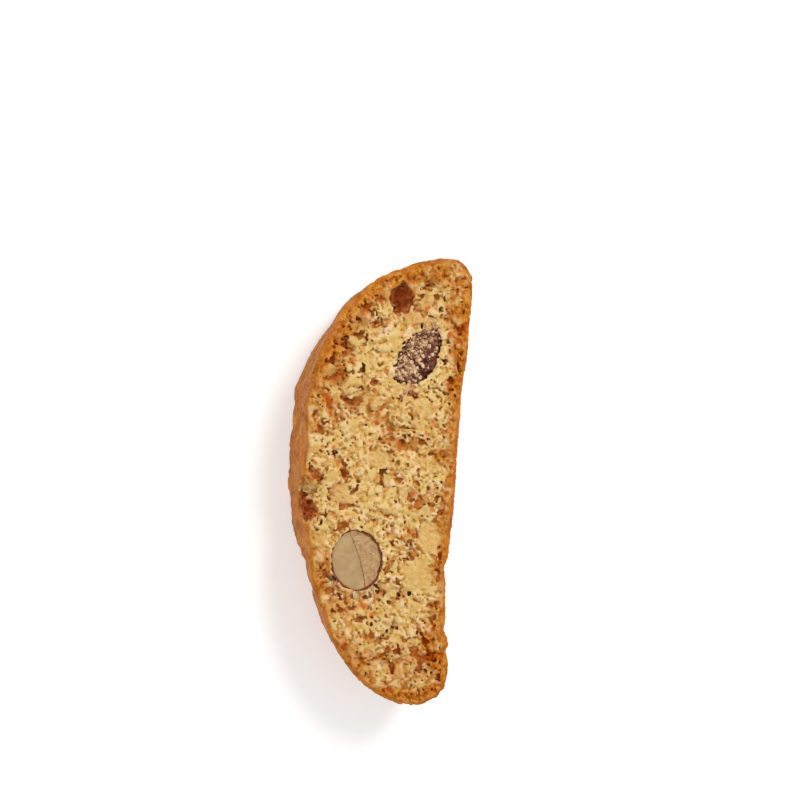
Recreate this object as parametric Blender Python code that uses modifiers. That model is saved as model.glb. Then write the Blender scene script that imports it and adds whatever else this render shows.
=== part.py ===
"""Almond biscotto: one slice of a twice-baked almond loaf, lying on its lower cut face.

The upper cut face shows the crumb, a cut almond and the dark skin of a second almond.
Frame: +Y along the slice, +Z out of the upper cut face, the domed crust on -X, the flat base crust on +X.
The origin is in the middle of the box round the slice, on the surface that it lies on.  Units: metres.
"""

import math

import bmesh
import bpy
from mathutils import Matrix, Vector, noise

MM = 0.001

# Driving dimensions of the slice
LENGTH = 93 * MM
WIDTH = 33.8 * MM
THICKNESS = 17 * MM

# Driving dimensions of an almond, and the clear gap between an almond and the crumb that holds it
ALMOND_LENGTH = 26 * MM
ALMOND_WIDTH = 12.6 * MM
ALMOND_DEPTH = 10.6 * MM
GAP = 0.3 * MM

# The smaller almond that lies along the face: length, width and depth, the share of its depth where its upper
# side flattens, how far that is sunk in the face, and its wrinkles
SKIN_ALMOND_SIZE = (19.0 * MM, 10.0 * MM, 8.4 * MM)
SKIN_ALMOND_FLAT = 0.28
SKIN_ALMOND_SUNK = 0.9 * MM
SKIN_WRINKLES = (3.2 * MM, 0.9 * MM)

MESH_SIZE = 1.65 * MM

# The loaf's section.  Each point is (along, up): along the slice from its middle in half lengths, and up from
# the base crust in widths.  The end at +Y is blunt, and the end at -Y is drawn out.
LOAF_SECTION = (
    (0.935, 0.000), (0.990, 0.055), (1.000, 0.160), (0.963, 0.380), (0.887, 0.605), (0.793, 0.768),
    (0.543, 0.945), (0.174, 1.000), (-0.260, 0.955), (-0.560, 0.857), (-0.800, 0.685), (-0.945, 0.480),
    (-1.000, 0.210), (-0.975, 0.070), (-0.900, 0.000), (-0.620, 0.020), (-0.420, 0.045), (-0.250, 0.022),
    (0.220, 0.018), (0.700, 0.000),
)

# The line that the crust curves round, from which the walls lean and swell
SPINE_X = 0.12 * WIDTH
SPINE_HALF_LENGTH = 0.30 * LENGTH

# The crust leans in towards the lower cut face, most near the ends and hardly at the top of the dome
LEAN_AT_ENDS = 3.2 * MM
LEAN_AT_DOME = 0.8 * MM
DOME_MIDDLE = 4 * MM
DOME_HALF_LENGTH = 12 * MM
DOME_FALL = 14 * MM

# The base crust, which lay on the baking tray, leans and swells by this share of what the dome does
BASE_SHARE = 0.45

# Unevenness: (size of one bump, height)
CRUST_SWELLS = (12 * MM, 0.45 * MM)
CRUST_LUMPS = (4.5 * MM, 0.30 * MM)
CRUMB_SWELLS = (9 * MM, 0.45 * MM)
CRUMB_LUMPS = (3.4 * MM, 0.45 * MM)
CREASE_WANDER = (5 * MM, 1.6 * MM)

# Dents in the upper cut face: (x, y, radius, depth)
DENTS = (
    (0.0 * MM, -25.0 * MM, 4.4 * MM, 1.5 * MM),   # below the cut almond
    (10.8 * MM, -10.5 * MM, 4.2 * MM, 1.0 * MM),
    (-5.3 * MM, 25.8 * MM, 3.0 * MM, 1.2 * MM),
    (6.2 * MM, 6.0 * MM, 2.6 * MM, 1.2 * MM),
    (-10.6 * MM, 20.0 * MM, 2.2 * MM, 1.1 * MM),
    (-6.9 * MM, 14.6 * MM, 2.0 * MM, 0.9 * MM),
    (3.4 * MM, -31.8 * MM, 2.6 * MM, 1.2 * MM),
    (-1.1 * MM, -8.4 * MM, 2.4 * MM, 0.9 * MM),
)

# Low places along the base crust: (y at the upper face, half length, depth)
BASE_DIPS = (
    (-17.9 * MM, 2.2 * MM, 0.7 * MM),
    (-35.4 * MM, 2.0 * MM, 0.8 * MM),
    (-30.6 * MM, 1.8 * MM, 0.6 * MM),
    (20.0 * MM, 6.0 * MM, 0.4 * MM),
)

# Creases across the domed crust: (y at the upper face, slant along Y over the thickness, half width, depth)
DOME_CREASES = (
    (30.0 * MM, 5 * MM, 2.2 * MM, 0.45 * MM),
    (17.5 * MM, -4 * MM, 2.4 * MM, 0.50 * MM),
    (5.0 * MM, 5 * MM, 2.0 * MM, 0.35 * MM),
    (-14.5 * MM, -5 * MM, 2.4 * MM, 0.60 * MM),
    (-27.5 * MM, 4 * MM, 2.2 * MM, 0.45 * MM),
)

# Where the pieces and the openings sit in the upper cut face
CUT_ALMOND_AT = Vector((-5.0 * MM, -17.3 * MM, THICKNESS))
SKIN_ALMOND_AT = Vector((6.3 * MM, 26.2 * MM, THICKNESS))
AIR_HOLE_AT = Vector((1.7 * MM, 37.3 * MM, THICKNESS))
AIR_HOLE_RADII = (2.7 * MM, 3.3 * MM, 3.8 * MM)
CRUST_BREAK_AT = Vector((-16.6 * MM, -5.4 * MM, THICKNESS))
CRUST_BREAK_RADII = (3.0 * MM, 4.8 * MM, 5.2 * MM)


def clear_scene():
    for item in list(bpy.data.objects):
        bpy.data.objects.remove(item, do_unlink=True)


def new_collection(name):
    collection = bpy.data.collections.new(name)
    bpy.context.scene.collection.children.link(collection)
    return collection


def new_material(name, colour, roughness):
    material = bpy.data.materials.new(name)
    material.use_nodes = True
    shader = material.node_tree.nodes["Principled BSDF"]
    shader.inputs["Base Color"].default_value = (*colour, 1.0)
    shader.inputs["Roughness"].default_value = roughness
    shader.inputs["Metallic"].default_value = 0.0
    material.diffuse_color = (*colour, 1.0)
    return material


def evaluated_mesh(item):
    """The object's mesh as the viewport shows it, as new data."""
    bpy.context.view_layer.update()
    graph = bpy.context.evaluated_depsgraph_get()
    return bpy.data.meshes.new_from_object(item.evaluated_get(graph))


def bump(distance, reach):
    """1 at no distance, falling smoothly to 0 at the reach."""
    share = min(abs(distance) / reach, 1.0)
    return (1.0 - share * share) ** 2


def lumps(point, size_and_height, seed):
    """Smooth bumps of a given size, between minus and plus the given height."""
    size, height = size_and_height
    return height * noise.noise(point / size + Vector((seed, 0.37 * seed, 1.9 * seed)))


def prism_of_loaf(collection):
    """The slice as a straight prism: the loaf's section, as thick as the slice."""
    curve = bpy.data.curves.new("loaf_section", "CURVE")
    curve.dimensions = "2D"
    curve.fill_mode = "BOTH"
    curve.extrude = THICKNESS / 2
    curve.resolution_u = 8
    spline = curve.splines.new("BEZIER")
    spline.bezier_points.add(len(LOAF_SECTION) - 1)
    for knot, (along, up) in zip(spline.bezier_points, LOAF_SECTION):
        knot.co = (WIDTH / 2 - up * WIDTH, along * LENGTH / 2, 0.0)
        knot.handle_left_type = "AUTO"
        knot.handle_right_type = "AUTO"
    spline.use_cyclic_u = True
    item = bpy.data.objects.new("loaf_section", curve)
    item.location.z = THICKNESS / 2
    collection.objects.link(item)
    mesh = evaluated_mesh(item)
    mesh.transform(item.matrix_world)
    bpy.data.objects.remove(item, do_unlink=True)
    weld(mesh)
    return mesh


def weld(mesh):
    work = bmesh.new()
    work.from_mesh(mesh)
    bmesh.ops.remove_doubles(work, verts=work.verts, dist=0.02 * MM)
    bmesh.ops.recalc_face_normals(work, faces=work.faces)
    work.to_mesh(mesh)
    work.free()


def evenly_meshed(mesh, collection):
    """The same solid with faces of about one size all over, so that it can be shaped."""
    item = bpy.data.objects.new("slice_prism", mesh)
    collection.objects.link(item)
    remesh = item.modifiers.new("even faces", "REMESH")
    remesh.mode = "VOXEL"
    remesh.voxel_size = MESH_SIZE
    even = evaluated_mesh(item)
    bpy.data.objects.remove(item, do_unlink=True)
    return even


def spine_point(point):
    y = max(-SPINE_HALF_LENGTH, min(SPINE_HALF_LENGTH, point.y))
    return Vector((SPINE_X, y, point.z))


def lean(point):
    """How far the slice is drawn in at a point's level, against its upper cut face."""
    dome = bump(max(0.0, abs(point.y - DOME_MIDDLE) - DOME_HALF_LENGTH), DOME_FALL)
    return (1.0 - point.z / THICKNESS) * (LEAN_AT_ENDS + (LEAN_AT_DOME - LEAN_AT_ENDS) * dome)


def crust_offset(point, outward):
    """How far the crust stands out at a point of the wall, along the way out from the spine."""
    depth_share = 1.0 - point.z / THICKNESS
    offset = -lean(point)
    offset += lumps(point, CRUST_SWELLS, 3.0) + lumps(point, CRUST_LUMPS, 7.0)
    wander = lumps(point, CREASE_WANDER, 11.0)
    on_base = 1.0 - bump(max(0.0, outward.x), 1.0)
    offset *= 1.0 - (1.0 - BASE_SHARE) * on_base
    for y, half, depth in BASE_DIPS:
        dip = depth * bump(point.y - y - 2.0 * wander * depth_share, half)
        offset -= on_base * dip * (1.0 - 0.6 * depth_share)
    for y, slant, half, depth in DOME_CREASES:
        offset -= (1.0 - on_base) * depth * bump(point.y - y - slant * depth_share - wander, half)
    return offset


def crumb_offset(point):
    """How far the upper cut face stands above its mean level."""
    offset = lumps(point, CRUMB_SWELLS, 5.0) + lumps(point, CRUMB_LUMPS, 9.0)
    for x, y, radius, depth in DENTS:
        offset -= depth * bump(math.hypot(point.x - x, point.y - y), radius)
    return offset


def shape_slice(mesh):
    """Turns the straight prism into the uneven slice, whose lower cut face stays flat."""
    wall_normals = [Vector(vertex.normal) for vertex in mesh.vertices]
    for vertex, normal in zip(mesh.vertices, wall_normals):
        point = Vector(vertex.co)
        centre = spine_point(point)
        out = point - centre
        reach = out.length
        outward = out.normalized() if reach > 0 else Vector((1, 0, 0))
        on_wall = math.hypot(normal.x, normal.y)
        height_share = min(1.0, max(0.0, point.z / THICKNESS))
        moved = point.copy()
        if on_wall > 0.3:
            moved += outward * crust_offset(point, outward)
        else:
            moved -= outward * lean(point) * min(1.0, reach / (WIDTH / 2))
        moved.z += crumb_offset(point) * max(0.0, 2.0 * height_share - 1.0)
        if point.z < 0.5 * MESH_SIZE:
            moved.z = 0.0
        vertex.co = moved


def centre_on_origin(mesh):
    """Puts the middle of the mesh's box over the origin, at the same height."""
    for axis in ("x", "y"):
        places = [getattr(vertex.co, axis) for vertex in mesh.vertices]
        middle = (min(places) + max(places)) / 2
        for vertex in mesh.vertices:
            setattr(vertex.co, axis, getattr(vertex.co, axis) - middle)


def almond_mesh(length, width, depth, grow):
    """A whole almond along Z, its pointed end down, grown outward by a margin."""
    work = bmesh.new()
    bmesh.ops.create_uvsphere(work, u_segments=26, v_segments=16, radius=1.0)
    for vertex in work.verts:
        along = vertex.co.z
        taper = 1.0 + 0.16 * along
        vertex.co.x *= taper * depth / 2 + grow
        vertex.co.y *= taper * width / 2 + grow
        vertex.co.z *= length / 2 + grow
    mesh = bpy.data.meshes.new("almond")
    work.to_mesh(mesh)
    work.free()
    return mesh


def cut_almond_mesh(grow):
    """The almond that the knife cut: it stands nearly upright and runs down through the slice."""
    mesh = almond_mesh(ALMOND_LENGTH, ALMOND_WIDTH, ALMOND_DEPTH, grow)
    below_face = 4.4 * MM
    tilt = Matrix.Rotation(math.radians(11), 4, "Y") @ Matrix.Rotation(math.radians(-5), 4, "X")
    turn = Matrix.Rotation(math.radians(12), 4, "Z")
    mesh.transform(Matrix.Translation(CUT_ALMOND_AT - Vector((0, 0, below_face))) @ tilt @ turn)
    return mesh


def skin_almond_mesh(grow):
    """The almond whose skin shows: it lies along the face, and its upper side is flattened and wrinkled."""
    mesh = almond_mesh(*SKIN_ALMOND_SIZE, 0.0)
    mesh.transform(Matrix.Rotation(math.radians(90), 4, "X") @ Matrix.Rotation(math.radians(90), 4, "Z"))
    flat_level = SKIN_ALMOND_FLAT * SKIN_ALMOND_SIZE[2]
    for vertex in mesh.vertices:
        point = Vector(vertex.co)
        point += point.normalized() * (lumps(point, SKIN_WRINKLES, 21.0) + grow)
        if grow == 0.0 and point.z > flat_level:
            point.z = flat_level + 0.35 * (point.z - flat_level)
        vertex.co = point
    centre = SKIN_ALMOND_AT - Vector((0, 0, flat_level + SKIN_ALMOND_SUNK))
    mesh.transform(Matrix.Translation(centre) @ Matrix.Rotation(math.radians(-30), 4, "Z"))
    return mesh


def hollow_mesh(centre, radii, seed, roughness):
    """An uneven egg-shaped hollow."""
    work = bmesh.new()
    bmesh.ops.create_icosphere(work, subdivisions=3, radius=1.0)
    for vertex in work.verts:
        stretch = 1.0 + roughness * noise.noise(vertex.co * 1.6 + Vector((seed, seed, seed)))
        vertex.co = Vector(vertex.co[axis] * radii[axis] * stretch for axis in range(3)) + centre
    mesh = bpy.data.meshes.new("hollow")
    work.to_mesh(mesh)
    work.free()
    return mesh


def slab_mesh(low, high):
    """A block wider than the slice, between two levels."""
    work = bmesh.new()
    bmesh.ops.create_cube(work, size=1.0)
    size = Vector((2 * WIDTH, 2 * LENGTH, high - low))
    for vertex in work.verts:
        vertex.co = Vector(vertex.co[axis] * size[axis] for axis in range(3))
        vertex.co.z += (low + high) / 2
    mesh = bpy.data.meshes.new("slab")
    work.to_mesh(mesh)
    work.free()
    return mesh


def add_part(name, mesh, material, collection):
    item = bpy.data.objects.new(name, mesh)
    mesh.name = name
    mesh.materials.clear()
    mesh.materials.append(material)
    collection.objects.link(item)
    return item


def add_cutter(name, mesh, collection):
    item = bpy.data.objects.new(name, mesh)
    item.hide_render = True
    item.display_type = "WIRE"
    collection.objects.link(item)
    return item


def cut(item, cutter, operation="DIFFERENCE"):
    boolean = item.modifiers.new(f"{operation.lower()} {cutter.name}", "BOOLEAN")
    boolean.operation = operation
    boolean.solver = "EXACT"
    boolean.object = cutter


def make_biscuit(parts, cutters):
    """The crumb and crust, with room for the almonds, the large air hole and the broken crust."""
    mesh = evenly_meshed(prism_of_loaf(cutters), cutters)
    shape_slice(mesh)
    centre_on_origin(mesh)
    crumb = new_material("crumb_and_crust", (0.78, 0.55, 0.27), 0.85)
    biscuit = add_part("biscuit", mesh, crumb, parts)
    cut(biscuit, add_cutter("cut_almond_room", cut_almond_mesh(GAP), cutters))
    cut(biscuit, add_cutter("skin_almond_room", skin_almond_mesh(GAP), cutters))
    cut(biscuit, add_cutter("air_hole", hollow_mesh(AIR_HOLE_AT, AIR_HOLE_RADII, 2.0, 0.35), cutters))
    cut(biscuit, add_cutter("crust_break", hollow_mesh(CRUST_BREAK_AT, CRUST_BREAK_RADII, 6.0, 0.55), cutters))
    return biscuit


def make_cut_almond(parts, cutters):
    """The cut almond, level with both cut faces."""
    flesh = new_material("almond_flesh", (0.80, 0.62, 0.42), 0.6)
    almond = add_part("almond_lower", cut_almond_mesh(0.0), flesh, parts)
    top = THICKNESS - 0.25 * MM
    cut(almond, add_cutter("between_cut_faces", slab_mesh(0.0, top), cutters), "INTERSECT")
    return almond


def make_skin_almond(parts):
    """The almond that shows its dark skin."""
    skin = new_material("almond_skin", (0.22, 0.09, 0.06), 0.55)
    return add_part("almond_upper", skin_almond_mesh(0.0), skin, parts)


def main():
    clear_scene()
    parts = new_collection("biscotto")
    cutters = new_collection("cutters")
    pieces = (make_biscuit(parts, cutters), make_cut_almond(parts, cutters), make_skin_almond(parts))
    for piece in pieces:
        piece.data.shade_smooth()


main()
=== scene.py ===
"""Looks of the almond biscotto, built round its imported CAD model.

The biscuit, the cut almond and the almond with its skin are rebuilt as fine meshes from distance fields on a
grid: the CAD solid gives the form, and layers of noise and carved pores give the crumb and the crust.  Fields
are in millimetres and objects are in metres.
"""

import math

import bmesh
import bpy
import numpy as np
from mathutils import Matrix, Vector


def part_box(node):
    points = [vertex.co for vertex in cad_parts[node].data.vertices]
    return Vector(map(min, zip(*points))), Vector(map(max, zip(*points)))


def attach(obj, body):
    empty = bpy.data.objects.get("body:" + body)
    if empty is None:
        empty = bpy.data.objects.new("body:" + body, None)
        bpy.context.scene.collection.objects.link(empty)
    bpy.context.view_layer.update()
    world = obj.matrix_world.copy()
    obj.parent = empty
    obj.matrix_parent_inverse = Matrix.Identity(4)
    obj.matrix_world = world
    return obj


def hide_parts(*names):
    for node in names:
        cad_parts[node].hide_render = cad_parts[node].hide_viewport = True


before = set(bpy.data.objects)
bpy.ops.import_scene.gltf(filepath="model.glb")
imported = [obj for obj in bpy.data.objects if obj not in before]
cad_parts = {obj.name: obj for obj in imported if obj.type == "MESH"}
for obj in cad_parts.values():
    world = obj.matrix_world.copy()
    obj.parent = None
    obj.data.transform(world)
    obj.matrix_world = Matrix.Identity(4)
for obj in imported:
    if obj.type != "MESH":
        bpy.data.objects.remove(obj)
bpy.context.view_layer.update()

import openvdb
from mathutils import Euler, Matrix, Vector, bvhtree, kdtree

MM = 0.001
VOXEL = 0.23
THICKNESS = 17.0

# Triangles left on the biscuit after the mesh is thinned
BISCUIT_TRIANGLES = 190_000


# ---------------------------------------------------------------- fields on a grid


class Grid:
    """Evenly spaced sample points in a box, with fields on them.  Lengths are in millimetres."""

    def __init__(self, low, high, voxel):
        self.voxel = voxel
        self.first = np.floor(np.array(low) / voxel).astype(int)
        last = np.ceil(np.array(high) / voxel).astype(int)
        self.shape = tuple(int(count) for count in last - self.first + 1)

    def axes(self):
        """The x, y and z of the points, as three arrays that broadcast together."""
        places = [(self.first[axis] + np.arange(self.shape[axis])) * self.voxel for axis in range(3)]
        return np.meshgrid(*[place.astype(np.float32) for place in places], indexing="ij", sparse=True)

    def filtered(self, values, response, stretch=(1, 1, 1)):
        """The field after each of its waves is scaled by response(waves per millimetre)."""
        rates = [np.fft.fftfreq(self.shape[axis], self.voxel) * stretch[axis] for axis in range(2)]
        rates.append(np.fft.rfftfreq(self.shape[2], self.voxel) * stretch[2])
        rate = np.sqrt(sum(part ** 2 for part in np.meshgrid(*rates, indexing="ij", sparse=True)))
        spectrum = np.fft.rfftn(values) * response(rate)
        return np.fft.irfftn(spectrum, self.shape, axes=(0, 1, 2)).astype(np.float32)

    def noise(self, wavelength, seed, stretch=(1, 1, 1), spread=0.45):
        """Random waves of about one length in all directions, with a standard deviation of 1."""
        white = np.random.default_rng(seed).standard_normal(self.shape, dtype=np.float32)

        def band(rate):
            octaves = np.log2(np.maximum(rate * wavelength, 1e-6))
            return np.exp(-0.5 * (octaves / spread) ** 2) / np.maximum(rate * wavelength, 0.05)

        waves = self.filtered(white, band, stretch)
        return waves / waves.std()

    def blurred(self, values, radius):
        return self.filtered(values, lambda rate: np.exp(-2.0 * (math.pi * radius * rate) ** 2))

    def at(self, values, points):
        """The field read at any points, between the grid's own."""
        spot = points / self.voxel - self.first
        spot = np.clip(spot, 0.0, np.array(self.shape) - 1.001)
        low = spot.astype(int)
        part = spot - low
        total = np.zeros(len(points), np.float32)
        for corner in np.ndindex(2, 2, 2):
            weight = np.prod(np.where(corner, part, 1.0 - part), axis=1)
            i, j, k = (low + corner).T
            total += weight * values[i, j, k]
        return total

    def distance_to(self, points, triangles, reach):
        """Distance to a closed mesh, negative inside it, up to the reach."""
        transform = openvdb.createLinearTransform(voxelSize=self.voxel)
        level = openvdb.FloatGrid.createLevelSetFromPolygons(
            points.astype(np.float32), triangles=triangles.astype(np.uint32),
            transform=transform, halfWidth=reach / self.voxel)
        values = np.empty(self.shape, np.float32)
        level.copyToArray(values, ijk=tuple(int(index) for index in self.first))
        return values

    def surface(self, values):
        """The points and triangles of the surface where the field is 0, with its largest body alone."""
        field = openvdb.FloatGrid(2.0)
        field.transform = openvdb.createLinearTransform(voxelSize=self.voxel)
        field.copyFromArray(np.clip(values, -2.0, 2.0), ijk=tuple(int(index) for index in self.first))
        points, triangles, quads = field.convertToPolygons(isovalue=0.0, adaptivity=0.0)
        quads = quads.astype(np.int64)
        faces = np.concatenate([triangles.astype(np.int64), quads[:, [0, 1, 2]], quads[:, [0, 2, 3]]])
        return largest_body(points, faces[:, ::-1])


def largest_body(points, faces):
    """Drops the loose chips and the sealed air pockets, which are bodies of their own."""
    edges = np.concatenate([faces[:, [0, 1]], faces[:, [1, 2]]])
    label = np.arange(len(points))
    while True:
        lowest = np.minimum(label[edges[:, 0]], label[edges[:, 1]])
        renewed = label.copy()
        np.minimum.at(renewed, edges[:, 0], lowest)
        np.minimum.at(renewed, edges[:, 1], lowest)
        renewed = renewed[renewed]
        if np.array_equal(renewed, label):
            break
        label = renewed
    names, counts = np.unique(label, return_counts=True)
    kept = label == names[counts.argmax()]
    number = np.cumsum(kept) - 1
    return points[kept], number[faces[kept[faces[:, 0]]]]


def between(low, high, values):
    """0 at low, 1 at high, and smooth in between."""
    share = np.clip((values - low) / (high - low), 0.0, 1.0)
    return share * share * (3.0 - 2.0 * share)


def mesh_arrays(item):
    """A mesh object's points, in millimetres, and its triangles."""
    mesh = item.data
    points = np.empty(len(mesh.vertices) * 3, np.float32)
    mesh.vertices.foreach_get("co", points)
    mesh.calc_loop_triangles()
    triangles = np.empty(len(mesh.loop_triangles) * 3, np.int32)
    mesh.loop_triangles.foreach_get("vertices", triangles)
    return points.reshape(-1, 3) / MM, triangles.reshape(-1, 3)


def new_piece(name, points, faces):
    """A smooth-shaded object from points in millimetres."""
    mesh = bpy.data.meshes.new(name)
    mesh.from_pydata((points * MM).tolist(), [], faces.tolist())
    mesh.shade_smooth()
    item = bpy.data.objects.new(name, mesh)
    bpy.context.scene.collection.objects.link(item)
    return item


def thinned(item, triangles):
    """The object with its mesh collapsed to about that many triangles."""
    count = len(item.data.polygons)
    if count > triangles:
        modifier = item.modifiers.new("thin", "DECIMATE")
        modifier.ratio = triangles / count
        graph = bpy.context.evaluated_depsgraph_get()
        mesh = bpy.data.meshes.new_from_object(item.evaluated_get(graph))
        item.modifiers.clear()
        item.data = mesh
        mesh.shade_smooth()
    return item


def add_attribute(item, name, values):
    attribute = item.data.attributes.new(name, "FLOAT", "POINT")
    attribute.data.foreach_set("value", values.astype(np.float32))


# ---------------------------------------------------------------- the biscuit

# Small hollows that can be told apart in the upper cut face:
# (x, y, half length, half width, depth, turn in degrees)
NAMED_PORES = (
    (7.4, 40.6, 1.5, 0.9, 1.5, 30), (-3.4, 31.8, 2.2, 1.0, 1.4, 35), (-9.6, 27.2, 1.7, 0.9, 1.4, -35),
    (-5.3, 26.0, 1.5, 1.7, 0.7, 0), (-10.6, 20.3, 2.2, 1.2, 1.0, 60), (-7.0, 14.7, 1.4, 0.8, 1.2, 80),
    (6.3, 6.0, 1.7, 1.3, 0.9, 20), (-10.4, 4.8, 0.75, 0.7, 2.4, 0), (-1.1, -8.6, 1.0, 0.8, 1.1, 0),
    (6.9, -15.9, 1.0, 0.7, 1.1, 0), (5.3, -23.9, 0.6, 0.9, 1.5, 0), (-2.6, -29.0, 0.9, 0.8, 1.4, 0),
    (3.4, -31.6, 2.3, 0.5, 1.9, 40), (12.4, -36.2, 1.7, 0.6, 1.2, 35), (5.1, 17.8, 1.4, 0.8, 1.4, -20),
    (-15.3, 1.4, 1.3, 0.6, 1.2, 90), (-13.1, -0.8, 1.4, 0.8, 1.3, 70),
)

# Smooth, dense blobs in the crumb: (x, y, radius)
DENSE_BLOBS = (
    (8.0, 14.9, 1.9), (-2.4, 15.5, 1.4), (-0.6, 4.2, 1.9), (9.3, -19.3, 3.2), (-8.8, -3.6, 1.9),
    (11.6, -11.2, 3.0), (2.5, 44.0, 2.2),
)

# Marked places, as ellipsoids: (centre, radii).  The tear lies bare of crust, round the deep brown break.
AIR_HOLE = ((1.7, 37.4, 16.8), (3.0, 3.6, 4.4))
CRUST_TEAR = ((-15.8, -5.4, 16.6), (3.0, 4.6, 5.2))
CRUST_BREAK = ((-15.2, -6.2, 15.6), (2.3, 3.2, 5.0))

# The flap of crumb that overhangs the break: its corner (x, y), the directions out of its two edges (x, y),
# the x where it ends inside the biscuit, the z of its underside, and how far it stands above the cut face
FLAP_CORNER = (-15.0, -4.4)
FLAP_EDGES = ((-0.81, -0.59), (-0.58, 0.81))
FLAP_END = -11.5
FLAP_BOTTOM = 13.5
FLAP_RISE = 0.15

# The biscuit's random waves: (wavelength, seed)
FINE_GRAIN = (0.95, 1)
BILLOWS = (3.0, 2)
SMALL_BILLOWS = (1.4, 3)
PATCHES = (13.0, 4)
CREASES = (8.0, 5)
PITS = (1.6, 6)
BLOBS = (4.5, 10)
TOAST_EDGE = (5.0, 11)
RUST_SPOTS = (2.4, 12)

# How high the crumb's grains stand and how deep its spots lie, then the same for the crust
BILLOW_HEIGHT = 0.29
FINE_HEIGHT = 0.18
SPOT_DEPTH = 0.25
CRUST_FINE_HEIGHT = 0.05
CREASE_DEPTH = 0.14
PIT_DEPTH = 0.30

# How far the crumb closes up against the almonds, and the distances from them over which it grows rough
CLOSING = 0.20
ROUGH_RANGE = (0.25, 1.0)

# Random pores, from small to large: (wavelength, seed, rarity, slope, greatest depth)
PORE_SIZES = ((1.7, 7, 1.30, 0.34, 0.6), (2.9, 8, 1.15, 0.60, 1.0), (6.0, 9, 2.10, 1.00, 1.6))

# How far under the crust the crumb begins, how far its grains may stand up, and where its pores may open
CRUMB_STARTS = (0.2, 1.2)
GRAIN_RISE_AT_CRUST = 0.20
GRAIN_RISE_PER_MM = 0.5
PORES_START = 1.3

# Crust points come from faces whose normals have less z than this, and keep the margin from the almonds'
# boxes and the marked hollows
WALL_NORMAL_Z = 0.6
MARGIN = 1.0


def wall_samples(points, triangles):
    """Points spread over the outer crust, and the way that the crust faces at each."""
    corners = points[triangles]
    normals = np.cross(corners[:, 1] - corners[:, 0], corners[:, 2] - corners[:, 0])
    normals /= np.linalg.norm(normals, axis=1, keepdims=True) + 1e-9
    middles = corners.mean(1)
    outer = np.abs(normals[:, 2]) < WALL_NORMAL_Z
    for name in ("almond_lower", "almond_upper"):
        low, high = (np.array(corner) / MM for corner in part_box(name))
        outer &= ~((middles > low - MARGIN) & (middles < high + MARGIN)).all(1)
    for ellipsoid in (AIR_HOLE, CRUST_TEAR):
        centre, radii = (np.array(part) for part in ellipsoid)
        outer &= np.linalg.norm((middles - centre) / (radii + MARGIN), axis=1) > 1.0
    shares = [(i / 3, j / 3, 1 - (i + j) / 3) for i in range(4) for j in range(4 - i)]
    spots = [np.einsum("k,nkc->nc", np.array(share), corners[outer]) for share in shares]
    return np.concatenate(spots), np.tile(normals[outer], (len(shares), 1))


def crust_distance(grid, points, triangles):
    """How deep each grid point lies under the outer crust, and below 0 outside it."""
    spots, normals = wall_samples(points, triangles)
    tree = kdtree.KDTree(len(spots))
    for index, spot in enumerate(spots):
        tree.insert(spot, index)
    tree.balance()
    step = 1.0
    high = (grid.first + np.array(grid.shape)) * grid.voxel
    coarse = Grid(grid.first * grid.voxel - step, high + step, step)
    values = np.empty(coarse.shape, np.float32)
    for index in np.ndindex(coarse.shape):
        place = (coarse.first + index) * step
        _, nearest, _ = tree.find(place)
        values[index] = np.dot(spots[nearest] - place, normals[nearest])
    x, y, z = np.meshgrid(*[axis.ravel() for axis in grid.axes()], indexing="ij")
    places = np.stack([x.ravel(), y.ravel(), z.ravel()], 1)
    return coarse.at(values, places).reshape(grid.shape)


def almond_distance(grid):
    """How far each grid point is from the nearer almond, up to 2.5 mm."""
    nearest = np.full(grid.shape, 2.5, np.float32)
    for name in ("almond_lower", "almond_upper"):
        points, triangles = mesh_arrays(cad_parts[name])
        nearest = np.minimum(nearest, grid.distance_to(points, triangles, 2.5))
    return nearest


def named_pores(grid, warp):
    """Above 0 inside the hollows that can be told apart."""
    x, y, z = grid.axes()
    carved = np.full(grid.shape, -2.0, np.float32)
    for px, py, half_length, half_width, depth, turn in NAMED_PORES:
        angle = math.radians(turn)
        along = (x - px) * math.cos(angle) + (y - py) * math.sin(angle)
        across = (y - py) * math.cos(angle) - (x - px) * math.sin(angle)
        down = (z - THICKNESS - 0.3) / (depth + 0.3)
        size = np.sqrt((along / half_length) ** 2 + (across / half_width) ** 2 + down ** 2)
        reach = min(half_length, half_width, depth)
        carved = np.maximum(carved, (1.0 - size) * reach + 0.25 * warp * (size < 2.0))
    return carved


def dense_blobs(grid, spread):
    """1 in the smooth blobs, both the placed ones and random ones, and 0 in the open crumb."""
    x, y, z = grid.axes()
    blobs = between(1.25, 1.75, spread)
    near_top = between(9.0, 12.0, z)
    for bx, by, radius in DENSE_BLOBS:
        away = np.sqrt((x - bx) ** 2 + (y - by) ** 2) / radius
        blobs = np.maximum(blobs, between(1.15, 0.75, away + 0.12 * spread) * near_top)
    return blobs


def within(grid, ellipsoid, warp):
    """1 inside an ellipsoid with an uneven edge, and 0 outside it."""
    size = 0.0
    for axis, centre, radius in zip(grid.axes(), *ellipsoid):
        size = size + ((axis - centre) / radius) ** 2
    return between(1.08, 0.92, np.sqrt(size) + 0.06 * warp)


def flap(grid, warp):
    """The overhanging flap's distance field."""
    x, y, z = grid.axes()
    sides = [(x - FLAP_CORNER[0]) * out_x + (y - FLAP_CORNER[1]) * out_y for out_x, out_y in FLAP_EDGES]
    field = np.maximum(np.maximum(*sides), np.maximum(x - FLAP_END, FLAP_BOTTOM - z))
    return np.maximum(field, z - THICKNESS - FLAP_RISE) + 0.15 * warp


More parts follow.
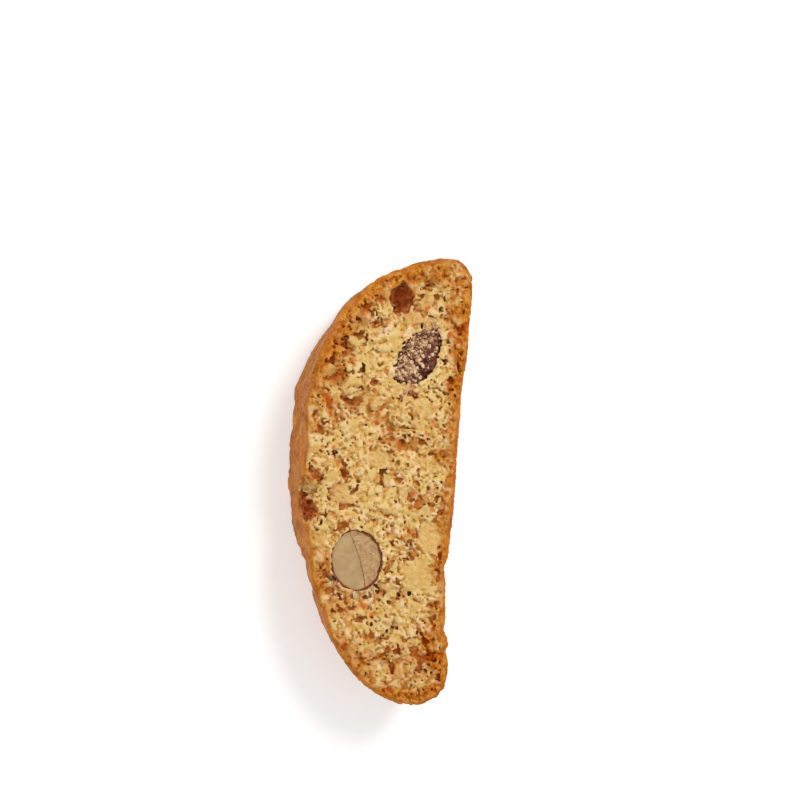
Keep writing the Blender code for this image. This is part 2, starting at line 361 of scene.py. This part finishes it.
def crust_relief(grid, fine, baked):
    """How high the crust's surface stands, with its creases and pits, and where the creases run."""
    x, _, _ = grid.axes()
    seam = 1.0 - between(0.05, 0.55, np.abs(grid.noise(*CREASES, stretch=(1, 1, 2.2))))
    seam *= 1.0 - between(12.5, 15.0, x)
    pits = np.maximum(grid.noise(*PITS) - 1.3, 0.0)
    relief = CRUST_FINE_HEIGHT * fine - CREASE_DEPTH * seam - PIT_DEPTH * pits
    return relief * (1.0 - baked), seam


def random_pores(grid, depth, openness):
    """Above 0 inside the random pores, of which the larger go deeper."""
    carved = [
        np.minimum((grid.noise(wavelength, seed) - rarity + openness) * slope, deepest - depth)
        for wavelength, seed, rarity, slope, deepest in PORE_SIZES
    ]
    return np.maximum(np.maximum(carved[0], carved[1]), carved[2])


def toasted_share(grid, crust, patches, raised):
    """How toasted the crumb is: most near the crust and at both ends, least on the grains that stand up."""
    x, y, _ = grid.axes()
    right = between(4.0, 9.0, x) * between(-6.0, 6.0, y)
    left = between(2.0, -6.0, x) * between(8.0, 20.0, y)
    width = 3.4 + 2.2 * between(14.0, 36.0, y) + 1.2 * between(20.0, 40.0, -y) + 1.2 * right + 2.6 * left
    toast = between(width, 0.6, crust + 1.1 * grid.noise(*TOAST_EDGE))
    ends = 0.42 * between(20.0, 44.0, -y) + 0.20 * between(26.0, 44.0, y)
    toast *= 0.72 + 0.38 * np.maximum(between(-4.0, 9.0, x), between(6.0, 18.0, y))
    return np.clip(toast + ends + 0.16 * patches - 0.24 * between(-0.4, 0.9, raised), 0.0, 1.0)


def biscuit_fields(grid):
    """The biscuit's own distance field, and the fields that its colours are read from."""
    points, triangles = mesh_arrays(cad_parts["biscuit"])
    solid = grid.distance_to(points, triangles, 4.0)
    crust = crust_distance(grid, points, triangles)
    _, _, z = grid.axes()
    fine = grid.noise(*FINE_GRAIN)
    overhang = flap(grid, fine)
    solid = np.minimum(solid, overhang)
    bare = between(-0.3, 0.4, crust)
    torn = within(grid, CRUST_TEAR, fine) * bare
    broken = within(grid, CRUST_BREAK, fine) * bare * between(0.0, 0.3, overhang)
    crust = np.maximum(crust, PORES_START * torn)

    # The crumb: rounded grains between creases, smooth blobs, and rusty spots that lie a little lower
    billows = np.abs(grid.noise(*BILLOWS)) + 0.8 * np.abs(grid.noise(*SMALL_BILLOWS))
    patches = grid.noise(*PATCHES, spread=0.6)
    blobs = dense_blobs(grid, grid.noise(*BLOBS))
    raised = (billows - 1.3) * (1.0 - blobs) + 0.35 * blobs
    spots = between(1.15, 1.7, grid.noise(*RUST_SPOTS) + 0.25 * patches) * (1.0 - blobs)
    fine_height = FINE_HEIGHT - 0.06 * blobs
    crumb_relief = BILLOW_HEIGHT * raised + fine_height * fine - SPOT_DEPTH * spots

    # The surface: calm round the almonds and in the air hole, and closed up against the almonds
    to_almond = almond_distance(grid)
    rough = between(*ROUGH_RANGE, to_almond)
    closing = CLOSING * between(0.7, 0.3, to_almond)
    baked = within(grid, AIR_HOLE, fine)
    inner = between(*CRUMB_STARTS, crust) * (0.25 + 0.75 * rough) * (1.0 - 0.9 * baked)
    outer_relief, seam = crust_relief(grid, fine, baked)
    relief = inner * crumb_relief + (1.0 - inner) * outer_relief + closing
    relief = np.minimum(relief, GRAIN_RISE_AT_CRUST + GRAIN_RISE_PER_MM * np.clip(crust, 0.0, 1.0))
    field = solid - relief

    depth = -solid
    pores = random_pores(grid, depth, 0.35 * patches - 2.0 * blobs) - 0.12 * fine
    pores = np.minimum(pores, (crust - PORES_START) * 0.6) - 0.5 * (1.0 - rough) - 0.6 * baked
    pores = np.maximum(pores, named_pores(grid, fine))
    field = np.maximum(field, pores)
    field = np.maximum(field, -z)

    marks = {
        "depth": depth, "crust": crust, "seam": seam, "toast": toasted_share(grid, crust, patches, raised),
        "dense": blobs, "spots": spots, "raised": raised, "baked": baked * between(16.8, 16.3, z),
        "broken": broken,
    }
    return field, marks


# The exporter's map: its width in millimetres, where the middle of the upper face lies on it, how far above
# that the lower face lies, where the crust's band begins, and how far the band laps over at its ends
MAP_SPAN = 104.0
MAP_MIDDLE = (50.0, 19.0)
MAP_LOWER_FACE = 0.38
MAP_BAND = 0.79
MAP_BAND_OVERLAP = 0.2


def lay_out(item, crust):
    """A map for the exporter: the two cut faces seen from above and below, and the crust as a band."""
    mesh = item.data
    points, _ = mesh_arrays(item)
    corners = np.empty(len(mesh.loops), np.int32)
    mesh.loops.foreach_get("vertex_index", corners)
    faces = corners.reshape(-1, 3)
    middle = points[faces].mean(1)
    on_crust = (crust[faces].mean(1) < np.minimum(THICKNESS - middle[:, 2], middle[:, 2]))[:, None]
    lower = (middle[:, 2] < THICKNESS / 2)[:, None]

    x, y, z = (points[faces][..., axis] for axis in range(3))
    sheared = 0.06 * z
    across = (y + sheared + MAP_MIDDLE[0]) / MAP_SPAN
    up = (x + sheared + MAP_MIDDLE[1]) / MAP_SPAN + MAP_LOWER_FACE * lower
    flat = np.stack([across, up], -1)

    angle = np.arctan2(x, y * 0.45)
    start = angle[:, :1]
    angle = start + np.remainder(angle - start + math.pi, 2 * math.pi) - math.pi
    around = (angle + math.pi + MAP_BAND_OVERLAP) / (2 * math.pi + 2 * MAP_BAND_OVERLAP)
    band = np.stack([around, MAP_BAND + (z + 1.0) / 100.0], -1)

    layer = mesh.uv_layers.new(name="OFBake")
    places = np.where(on_crust[..., None], band, flat)
    layer.uv.foreach_set("vector", np.clip(places, 0.0, 1.0).astype(np.float32).ravel())


def make_biscuit():
    """The biscuit, resting on z = 0, with the marks that its material reads."""
    low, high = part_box("biscuit")
    grid = Grid(np.array(low) / MM - 1.5, np.array(high) / MM + 1.5, VOXEL)
    field, marks = biscuit_fields(grid)
    surface_points, faces = grid.surface(field)
    surface_points[:, 2] = np.maximum(surface_points[:, 2], 0.0)
    item = thinned(new_piece("biscuit_crumb_and_crust", surface_points, faces), BISCUIT_TRIANGLES)
    vertices, _ = mesh_arrays(item)
    # How much solid lies round each point: high in creases and pores, where the material paints shade
    marks["buried"] = grid.blurred((field < 0).astype(np.float32), 0.45)
    read = {name: grid.at(np.broadcast_to(values, grid.shape), vertices) for name, values in marks.items()}
    for name, values in read.items():
        add_attribute(item, name, values)
    lay_out(item, read["crust"])
    return item


# ---------------------------------------------------------------- the almonds


def upright_extended(points, top):
    """A cut almond's points with both cut ends drawn on past the cuts, so that only its side is near."""
    extended = points.copy()
    extended[points[:, 2] > top - 0.05, 2] += 3.0
    extended[points[:, 2] < 0.05, 2] -= 3.0
    return extended


def make_cut_almond():
    """The cut almond's flesh, in two lobes with a split between them, and the skin round it."""
    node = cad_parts["almond_lower"]
    points, triangles = mesh_arrays(node)
    top = points[:, 2].max()
    grid = Grid(points.min(0) - 0.8, points.max(0) + 0.8, 0.12)
    side = grid.distance_to(upright_extended(points, top), triangles, 2.0)
    x, y, z = grid.axes()
    rim = points[points[:, 2] > top - 0.05]
    middle = (rim.min(0) + rim.max(0)) / 2
    along = y - middle[1]
    across = x - middle[0]
    fine = grid.noise(0.5, 21)
    soft = grid.noise(2.2, 22)
    split = (across - 0.7 + 0.36 * along + 0.018 * along ** 2) * 0.94 + 0.05 * soft
    right = between(0.0, 0.4, split)
    left_top = top - 0.02 + 0.03 * soft
    right_top = top - 0.12 + 0.07 * soft + 0.06 * fine
    level = left_top * (1.0 - right) + right_top * right
    side = side + 0.08 * grid.noise(3.0, 23)
    flesh = np.maximum(np.maximum(side + 0.16, z - level), -z)
    crack = np.minimum(0.05 + 0.02 * fine - np.abs(split), 0.30 - (top - z))
    flesh = np.maximum(flesh, crack)
    item = thinned(new_piece("almond_lower_flesh", *grid.surface(flesh)), 40_000)
    vertices, _ = mesh_arrays(item)
    add_attribute(item, "right_lobe", grid.at(np.broadcast_to(right, grid.shape), vertices))
    add_attribute(item, "split", grid.at(np.broadcast_to(np.abs(split), grid.shape), vertices))
    add_attribute(item, "edge", -grid.at(side, vertices))

    skin_top = top + 0.14 + 0.08 * grid.noise(1.4, 24)
    skin = np.maximum(np.maximum(side - 0.14, -(side + 0.18)), np.maximum(z - skin_top, -z))
    skin_item = new_piece("almond_lower_skin", *grid.surface(skin))
    return item, thinned(skin_item, 30_000)


def make_skin_almond():
    """The almond whose wrinkled skin shows."""
    points, triangles = mesh_arrays(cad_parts["almond_upper"])
    grid = Grid(points.min(0) - 0.8, points.max(0) + 0.8, 0.15)
    solid = grid.distance_to(points, triangles, 1.5)
    wrinkles = np.abs(grid.noise(2.0, 31, stretch=(1.5, 0.8, 1.0)))
    fine = grid.noise(0.8, 32)
    field = solid - 0.34 * (wrinkles - 1.0) - 0.10 * fine + 0.12
    return thinned(new_piece("almond_upper_skin", *grid.surface(field)), 30_000)


# ---------------------------------------------------------------- loose crumbs

# Where crumbs lie on the upper cut face: (x, y, half length, half width, turn in degrees, how many)
CRUMB_FIELDS = (
    (4.6, 26.0, 6.2, 2.0, 60, 330), (4.8, 21.0, 2.4, 1.8, 40, 90), (7.0, 26.6, 6.2, 2.8, 60, 120),
    (8.8, 31.4, 2.2, 1.8, 60, 60), (-9.0, -22.0, 3.4, 1.0, -50, 30), (-2.0, -23.8, 3.0, 0.9, 10, 24),
    (1.0, 8.0, 30.0, 11.0, 90, 50), (1.0, -24.0, 16.0, 8.0, 90, 30),
)
CRUMB_RADII = (0.10, 0.50)


def make_loose_crumbs(grounds):
    """Small crumbs lying on the upper cut face, most of them over the almond with its skin."""
    trees = [bvhtree.BVHTree.FromObject(item, bpy.context.evaluated_depsgraph_get()) for item in grounds]
    ball = bmesh.new()
    bmesh.ops.create_icosphere(ball, subdivisions=2, radius=1.0)
    shape = np.array([vertex.co for vertex in ball.verts])
    shape_faces = np.array([[vertex.index for vertex in face.verts] for face in ball.faces])
    ball.free()
    rng = np.random.default_rng(41)
    points, faces, tones = [], [], []
    for cx, cy, half_length, half_width, turn, count in CRUMB_FIELDS:
        for _ in range(count):
            angle = math.radians(turn)
            away = math.sqrt(rng.random())
            round_at = rng.random() * 2 * math.pi
            along = half_length * away * math.cos(round_at)
            across = half_width * away * math.sin(round_at)
            x = cx + along * math.cos(angle) - across * math.sin(angle)
            y = cy + along * math.sin(angle) + across * math.cos(angle)
            hits = [tree.ray_cast(Vector((x, y, 30.0)) * MM, Vector((0, 0, -1)))[0] for tree in trees]
            heights = [hit.z / MM for hit in hits if hit is not None]
            if not heights or max(heights) < THICKNESS - 2.0:
                continue
            radius = CRUMB_RADII[0] + (CRUMB_RADII[1] - CRUMB_RADII[0]) * rng.random() ** 3
            lumpy = shape * (0.55 + 0.9 * rng.random((len(shape), 1))) * (0.5 + 0.9 * rng.random(3))
            turned = lumpy @ np.array(Euler(rng.random(3) * 6.0).to_matrix())
            faces.append(shape_faces + len(points) * len(shape))
            points.append(turned * (radius, radius, 0.7 * radius) + (x, y, max(heights) + 0.1 * radius))
            tones.append(np.full(len(shape), rng.random()))
    item = new_piece("loose_crumbs", np.concatenate(points), np.concatenate(faces))
    add_attribute(item, "tone", np.concatenate(tones))
    return item


# ---------------------------------------------------------------- materials


class Nodes:
    """Short calls for building a material's nodes."""

    def __init__(self, name):
        self.material = bpy.data.materials.new(name)
        self.material.use_nodes = True
        self.tree = self.material.node_tree
        self.shader = self.tree.nodes["Principled BSDF"]

    def put(self, target, value):
        if isinstance(value, bpy.types.NodeSocket):
            self.tree.links.new(value, target)
        else:
            target.default_value = value

    def attribute(self, name):
        node = self.tree.nodes.new("ShaderNodeAttribute")
        node.attribute_name = name
        return node.outputs["Fac"]

    def noise(self, size_mm, detail=2.0, roughness=0.55):
        """Noise whose features are about that size, between 0 and 1."""
        mapping = self.tree.nodes.new("ShaderNodeMapping")
        mapping.inputs["Scale"].default_value = [1 / (size_mm * MM)] * 3
        self.put(mapping.inputs["Vector"], self.tree.nodes.new("ShaderNodeTexCoord").outputs["Object"])
        node = self.tree.nodes.new("ShaderNodeTexNoise")
        node.inputs["Scale"].default_value = 1.0
        node.inputs["Detail"].default_value = detail
        node.inputs["Roughness"].default_value = roughness
        self.put(node.inputs["Vector"], mapping.outputs["Vector"])
        return node.outputs["Fac"]

    def math(self, operation, first, second):
        node = self.tree.nodes.new("ShaderNodeMath")
        node.operation = operation
        self.put(node.inputs[0], first)
        self.put(node.inputs[1], second)
        return node.outputs[0]

    def scaled(self, value, low, high, to_low=0.0, to_high=1.0):
        """The value moved from one range to another, and kept inside it."""
        node = self.tree.nodes.new("ShaderNodeMapRange")
        self.put(node.inputs["Value"], value)
        for name, number in (("From Min", low), ("From Max", high), ("To Min", to_low), ("To Max", to_high)):
            node.inputs[name].default_value = number
        return node.outputs["Result"]

    def ramp(self, value, stops):
        """A colour ramp from (position, colour) stops."""
        node = self.tree.nodes.new("ShaderNodeValToRGB")
        elements = node.color_ramp.elements
        while len(elements) < len(stops):
            elements.new(0.5)
        for element, (position, colour) in zip(elements, stops):
            element.position = position
            element.color = (*colour, 1.0)
        self.put(node.inputs["Fac"], value)
        return node.outputs["Color"]

    def mix(self, share, first, second, blend="MIX"):
        node = self.tree.nodes.new("ShaderNodeMix")
        node.data_type = "RGBA"
        node.blend_type = blend
        self.put(node.inputs["Factor"], share)
        self.put(node.inputs["A"], first)
        self.put(node.inputs["B"], second)
        colours = [socket for socket in node.outputs if socket.type == "RGBA"]
        return colours[0]

    def bump(self, height, distance_mm, strength=1.0, below=None):
        node = self.tree.nodes.new("ShaderNodeBump")
        node.inputs["Distance"].default_value = distance_mm * MM
        self.put(node.inputs["Strength"], strength)
        self.put(node.inputs["Height"], height)
        if below is not None:
            self.put(node.inputs["Normal"], below)
        return node.outputs["Normal"]


def linear(red, green, blue):
    """A colour given as it looks on screen, from 0 to 255, as the shaders need it."""
    shares = (red / 255, green / 255, blue / 255)
    return tuple(share / 12.92 if share <= 0.04045 else ((share + 0.055) / 1.055) ** 2.4 for share in shares)


def opaque(red, green, blue):
    """The same colour with its alpha, as a mix node needs it."""
    return (*linear(red, green, blue), 1.0)


def biscuit_material():
    """Pale crumb with painted shade in its crevices, between its grains and deep in its pores, darker in its
    pores and spots, toasted near the brown crust.
    """
    nodes = Nodes("crumb_and_crust")
    grain = nodes.noise(0.40, detail=3.0, roughness=0.7)
    grit = nodes.noise(1.05, detail=3.0, roughness=0.65)
    tint = nodes.noise(2.4, detail=2.0)
    blotch = nodes.noise(3.2, detail=3.0)

    cream = nodes.mix(nodes.scaled(tint, 0.35, 0.65), opaque(225, 194, 148), opaque(211, 182, 110))
    # Painted shade: the crumb turns golden, then olive-brown, where it lies low between grains and deep in
    # creases, and stays cream on the grain tops
    painted_grain_shade = nodes.scaled(nodes.attribute("raised"), -0.9, 0.8, 0.55, 0.0)
    painted_crevice_shade = nodes.scaled(nodes.attribute("buried"), 0.40, 0.72, -0.08, 0.30)
    small_sparkle = nodes.scaled(grain, 0.3, 0.7, 0.26, -0.26)
    sparkle = nodes.math("ADD", small_sparkle, nodes.scaled(grit, 0.3, 0.7, 0.46, -0.46))
    shade = nodes.math("ADD", nodes.math("ADD", painted_grain_shade, painted_crevice_shade), sparkle)
    golden = nodes.mix(nodes.scaled(shade, 0.05, 0.45), cream, opaque(204, 162, 90))
    crumb = nodes.mix(nodes.scaled(shade, 0.45, 0.95), golden, opaque(172, 118, 50))
    dense = nodes.math("MULTIPLY", nodes.attribute("dense"), nodes.scaled(grit, 0.3, 0.7, 0.9, 0.4))
    crumb = nodes.mix(dense, crumb, opaque(200, 159, 90))
    spots = nodes.math("MULTIPLY", nodes.attribute("spots"), nodes.scaled(grit, 0.3, 0.6, 0.5, 1.0))
    crumb = nodes.mix(spots, crumb, opaque(196, 112, 44))

    # Pores: rust-coloured walls turning dark brown further down, partly the baked brown of deep hollows and
    # partly painted shade deep inside
    depth = nodes.attribute("depth")
    pore = nodes.scaled(depth, 0.30, 0.85, 0.0, 0.9)
    rust = nodes.ramp(tint, (
        (0.35, linear(154, 80, 30)), (0.50, linear(192, 108, 38)), (0.65, linear(180, 126, 56))))
    crumb = nodes.mix(pore, crumb, rust)
    crumb = nodes.mix(nodes.scaled(depth, 1.3, 2.1, 0.0, 0.85), crumb, opaque(96, 50, 22))

    toasted = nodes.mix(nodes.scaled(grit, 0.35, 0.65), opaque(191, 125, 58), opaque(240, 191, 116))
    crumb = nodes.mix(nodes.attribute("toast"), crumb, toasted, "MULTIPLY")

    baked = nodes.math("ADD", nodes.scaled(blotch, 0.3, 0.7), nodes.scaled(grain, 0.3, 0.7, -0.2, 0.2))
    plate = nodes.ramp(baked, (
        (0.0, linear(142, 78, 14)), (0.5, linear(170, 100, 24)), (1.0, linear(196, 128, 44))))
    seams = nodes.ramp(grain, ((0.35, linear(140, 66, 20)), (0.65, linear(206, 128, 54))))
    skin = nodes.mix(nodes.attribute("seam"), plate, seams)
    colour = nodes.mix(nodes.scaled(nodes.attribute("crust"), 0.15, 0.60, 1.0, 0.0), crumb, skin)

    scorched = nodes.ramp(grit, ((0.35, linear(126, 53, 19)), (0.65, linear(183, 96, 42))))
    scorch = nodes.math("MAXIMUM", nodes.attribute("baked"), nodes.attribute("broken"))
    colour = nodes.mix(scorch, colour, scorched)

    inside = nodes.scaled(nodes.attribute("crust"), 0.1, 0.9)
    rough = nodes.bump(grit, 0.36, nodes.math("ADD", nodes.math("MULTIPLY", inside, 0.60), 0.15))
    nodes.put(nodes.shader.inputs["Base Color"], colour)
    nodes.put(nodes.shader.inputs["Roughness"], nodes.math("ADD", nodes.math("MULTIPLY", inside, 0.36), 0.46))
    nodes.put(nodes.shader.inputs["Normal"], nodes.bump(grain, 0.14, 0.5, rough))
    nodes.shader.inputs["Specular IOR Level"].default_value = 0.05
    nodes.shader.inputs["Subsurface Weight"].default_value = 0.20
    nodes.shader.inputs["Subsurface Radius"].default_value = (1.0, 0.6, 0.3)
    nodes.shader.inputs["Subsurface Scale"].default_value = 0.6 * MM
    return nodes.material


def loose_crumb_material():
    nodes = Nodes("loose_crumbs")
    colour = nodes.ramp(nodes.attribute("tone"), (
        (0.0, linear(220, 188, 150)), (0.5, linear(204, 166, 122)), (0.8, linear(166, 118, 78)),
        (1.0, linear(116, 68, 46))))
    nodes.put(nodes.shader.inputs["Base Color"], colour)
    nodes.shader.inputs["Roughness"].default_value = 0.8
    return nodes.material


def almond_flesh_material():
    nodes = Nodes("almond_flesh")
    tone = nodes.noise(2.0, detail=4.0)
    smooth_lobe = nodes.ramp(tone, ((0.3, linear(155, 125, 80)), (0.7, linear(176, 146, 99))))
    rough_lobe = nodes.ramp(nodes.noise(0.8, detail=3.0), (
        (0.3, linear(152, 113, 68)), (0.7, linear(187, 149, 99))))
    colour = nodes.mix(nodes.attribute("right_lobe"), smooth_lobe, rough_lobe)
    at_edge = nodes.scaled(nodes.attribute("edge"), 0.1, 0.8, 0.6, 0.0)
    colour = nodes.mix(at_edge, colour, opaque(160, 108, 72))
    # Painted shade: the flesh is darkened along the split between the lobes
    split_shade = nodes.scaled(nodes.attribute("split"), 0.05, 0.25, 0.6, 0.0)
    colour = nodes.mix(split_shade, colour, opaque(140, 88, 56))
    nodes.put(nodes.shader.inputs["Base Color"], colour)
    nodes.put(nodes.shader.inputs["Roughness"], nodes.scaled(tone, 0.0, 1.0, 0.45, 0.6))
    nodes.put(nodes.shader.inputs["Normal"], nodes.bump(nodes.noise(0.3, detail=3.0), 0.05, 0.5))
    return nodes.material


def almond_skin_material(name, dark, light):
    nodes = Nodes(name)
    tone = nodes.noise(1.2, detail=4.0)
    colour = nodes.ramp(tone, ((0.3, dark), (0.7, light)))
    nodes.put(nodes.shader.inputs["Base Color"], colour)
    nodes.put(nodes.shader.inputs["Roughness"], nodes.scaled(tone, 0.0, 1.0, 0.4, 0.6))
    nodes.put(nodes.shader.inputs["Normal"], nodes.bump(nodes.noise(0.4, detail=3.0), 0.15, 0.7))
    nodes.shader.inputs["Specular IOR Level"].default_value = 0.25
    return nodes.material


# ---------------------------------------------------------------- stage, light and camera

VIEW_TILT = math.radians(16.0)
BASE_LEAN = math.radians(3.8)
FRAME_WIDTH = 0.165
LENS = 120.0
SENSOR = 36.0
LOOK_AT = Vector((0.0026, 0.0165, 0.017))


def make_camera():
    """Looks down on the upper cut face, from a little towards the domed crust."""
    data = bpy.data.cameras.new("camera")
    data.lens = LENS
    data.sensor_width = SENSOR
    camera = bpy.data.objects.new("camera", data)
    bpy.context.scene.collection.objects.link(camera)
    back = Vector((-math.sin(VIEW_TILT), 0.0, math.cos(VIEW_TILT)))
    up = Vector((0.0, 1.0, 0.0))
    right = up.cross(back)
    turn = Matrix((right, up, back)).transposed() @ Matrix.Rotation(BASE_LEAN, 3, "Z")
    distance = FRAME_WIDTH * LENS / SENSOR
    camera.matrix_world = Matrix.Translation(LOOK_AT + back * distance) @ turn.to_4x4()
    bpy.context.scene.camera = camera


def make_floor():
    bpy.ops.mesh.primitive_plane_add(size=4.0)
    floor = bpy.context.active_object
    floor.name = "floor"
    nodes = Nodes("floor")
    nodes.shader.inputs["Base Color"].default_value = (0.8, 0.8, 0.8, 1.0)
    nodes.shader.inputs["Emission Color"].default_value = (1.0, 1.0, 1.0, 1.0)
    nodes.shader.inputs["Emission Strength"].default_value = 0.28
    nodes.shader.inputs["Roughness"].default_value = 0.9
    nodes.shader.inputs["Specular IOR Level"].default_value = 0.1
    floor.data.materials.append(nodes.material)


def add_area_light(name, place, aim, size, power):
    data = bpy.data.lights.new(name, "AREA")
    data.shape = "DISK"
    data.size = size
    data.energy = power
    light = bpy.data.objects.new(name, data)
    light.location = place
    light.rotation_euler = (Vector(aim) - Vector(place)).to_track_quat("-Z", "Y").to_euler()
    bpy.context.scene.collection.objects.link(light)


def make_lights():
    add_area_light("key", (0.25, 0.45, 0.60), (0, 0, 0), 0.40, 4.2)
    add_area_light("fill", (-0.5, -0.3, 0.6), (0, 0, 0), 0.8, 2.4)
    world = bpy.data.worlds.new("world")
    world.use_nodes = True
    world.node_tree.nodes["Background"].inputs["Color"].default_value = (1.0, 1.0, 1.0, 1.0)
    world.node_tree.nodes["Background"].inputs["Strength"].default_value = 0.55
    bpy.context.scene.world = world
    bpy.context.scene.view_settings.view_transform = "Standard"


# ---------------------------------------------------------------- putting it together

make_camera()
make_floor()
make_lights()

biscuit = make_biscuit()
biscuit.data.materials.append(biscuit_material())
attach(biscuit, "root")
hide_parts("biscuit")

flesh, flesh_skin = make_cut_almond()
flesh.data.materials.append(almond_flesh_material())
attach(flesh, "root")
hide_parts("almond_lower")

skin_almond = make_skin_almond()
whole_skin = almond_skin_material("almond_skin", linear(62, 24, 12), linear(124, 66, 46))
skin_almond.data.materials.append(whole_skin)
cut_skin = almond_skin_material("cut_skin", linear(92, 30, 16), linear(140, 62, 36))
flesh_skin.data.materials.append(cut_skin)
for piece in (flesh_skin, skin_almond):
    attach(piece, "root")
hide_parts("almond_upper")

crumbs = make_loose_crumbs((biscuit, skin_almond))
crumbs.data.materials.append(loose_crumb_material())
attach(crumbs, "root")
